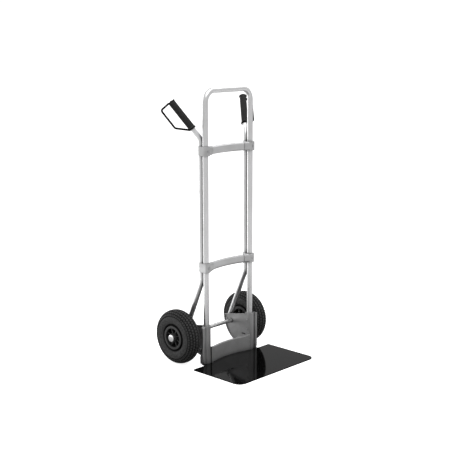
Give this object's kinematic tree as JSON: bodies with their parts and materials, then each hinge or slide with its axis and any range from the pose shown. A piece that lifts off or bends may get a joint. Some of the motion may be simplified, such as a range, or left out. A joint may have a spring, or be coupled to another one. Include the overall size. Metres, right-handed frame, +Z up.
{
  "type": "hand truck",
  "caption": "Upright hand truck with a looped tube frame, splayed guarded grips, curved crossbars, a flat black toe plate and pneumatic wheels on a straight axle.",
  "frame": {"origin": "on the floor, under the middle of the truck's bounding box", "axes": "+X across the truck, along the axle; -Y towards the load, at the front; +Z up the frame"},
  "size_m": [0.6076, 0.563, 1.3001],
  "materials": {
    "tubes": "satin drawn tube",
    "crossbars": "satin extrusion",
    "clamps": "fine cast",
    "side_brackets": "cast, matt",
    "back_panel": "pressed sheet, matt",
    "toe_plate": "gloss black",
    "fasteners": "zinc plated",
    "grips": "ribbed, matt",
    "hand_guards": "black moulded",
    "tube_plugs": "black moulded",
    "axle": "bright ground",
    "spacers": "zinc plated",
    "hub_caps": "bright",
    "tyres": "block tread",
    "inner_tubes": "smooth",
    "rims": "black moulded",
    "hub_sleeves": "ground",
    "bearing_cages": "moulded",
    "bearing_rollers": "ground",
    "valve_stems": "machined",
    "valve_caps": "moulded"
  },
  "bodies": {
    "frame": {"front_frame_tube": "tubes", "left_handle_tube": "tubes", "right_handle_tube": "tubes", "upper_crossbar": "crossbars", "lower_crossbar": "crossbars", "upper_left_clamp": "clamps", "upper_right_clamp": "clamps", "lower_left_clamp": "clamps", "lower_right_clamp": "clamps", "clamp_screws": "fasteners", "clamp_nuts": "fasteners", "left_side_bracket": "side_brackets", "right_side_bracket": "side_brackets", "leg_screws": "fasteners", "handle_tube_screws": "fasteners", "handle_tube_nuts": "fasteners", "back_panel": "back_panel", "panel_screws": "fasteners", "panel_nuts": "fasteners", "toe_plate": "toe_plate", "toe_plate_bolts": "fasteners", "toe_plate_nuts": "fasteners", "left_grip": "grips", "right_grip": "grips", "left_hand_guard": "hand_guards", "right_hand_guard": "hand_guards", "guard_screws": "fasteners", "handle_tube_plugs": "tube_plugs", "axle": "axle", "wheel_spacers": "spacers", "axle_washers": "spacers", "left_hub_cap": "hub_caps", "right_hub_cap": "hub_caps"},
    "left_wheel": {"left_tyre": "tyres", "left_inner_tube": "inner_tubes", "left_rim_outer_half": "rims", "left_rim_inner_half": "rims", "left_hub_sleeve": "hub_sleeves", "left_rim_bolts": "fasteners", "left_rim_nuts": "fasteners", "left_bearing_cages": "bearing_cages", "left_bearing_rollers": "bearing_rollers", "left_valve_stem": "valve_stems", "left_valve_cap": "valve_caps"},
    "right_wheel": {"right_tyre": "tyres", "right_inner_tube": "inner_tubes", "right_rim_outer_half": "rims", "right_rim_inner_half": "rims", "right_hub_sleeve": "hub_sleeves", "right_rim_bolts": "fasteners", "right_rim_nuts": "fasteners", "right_bearing_cages": "bearing_cages", "right_bearing_rollers": "bearing_rollers", "right_valve_stem": "valve_stems", "right_valve_cap": "valve_caps"}
  },
  "joints": [
    {"name": "left_wheel_spin", "type": "hinge", "parent": "frame", "child": "left_wheel", "pos_m": [-0.232, 0.1515, 0.13], "axis": [1, 0, 0], "continuous": true},
    {"name": "right_wheel_spin", "type": "hinge", "parent": "frame", "child": "right_wheel", "pos_m": [0.232, 0.1515, 0.13], "axis": [1, 0, 0], "continuous": true}
  ]
}
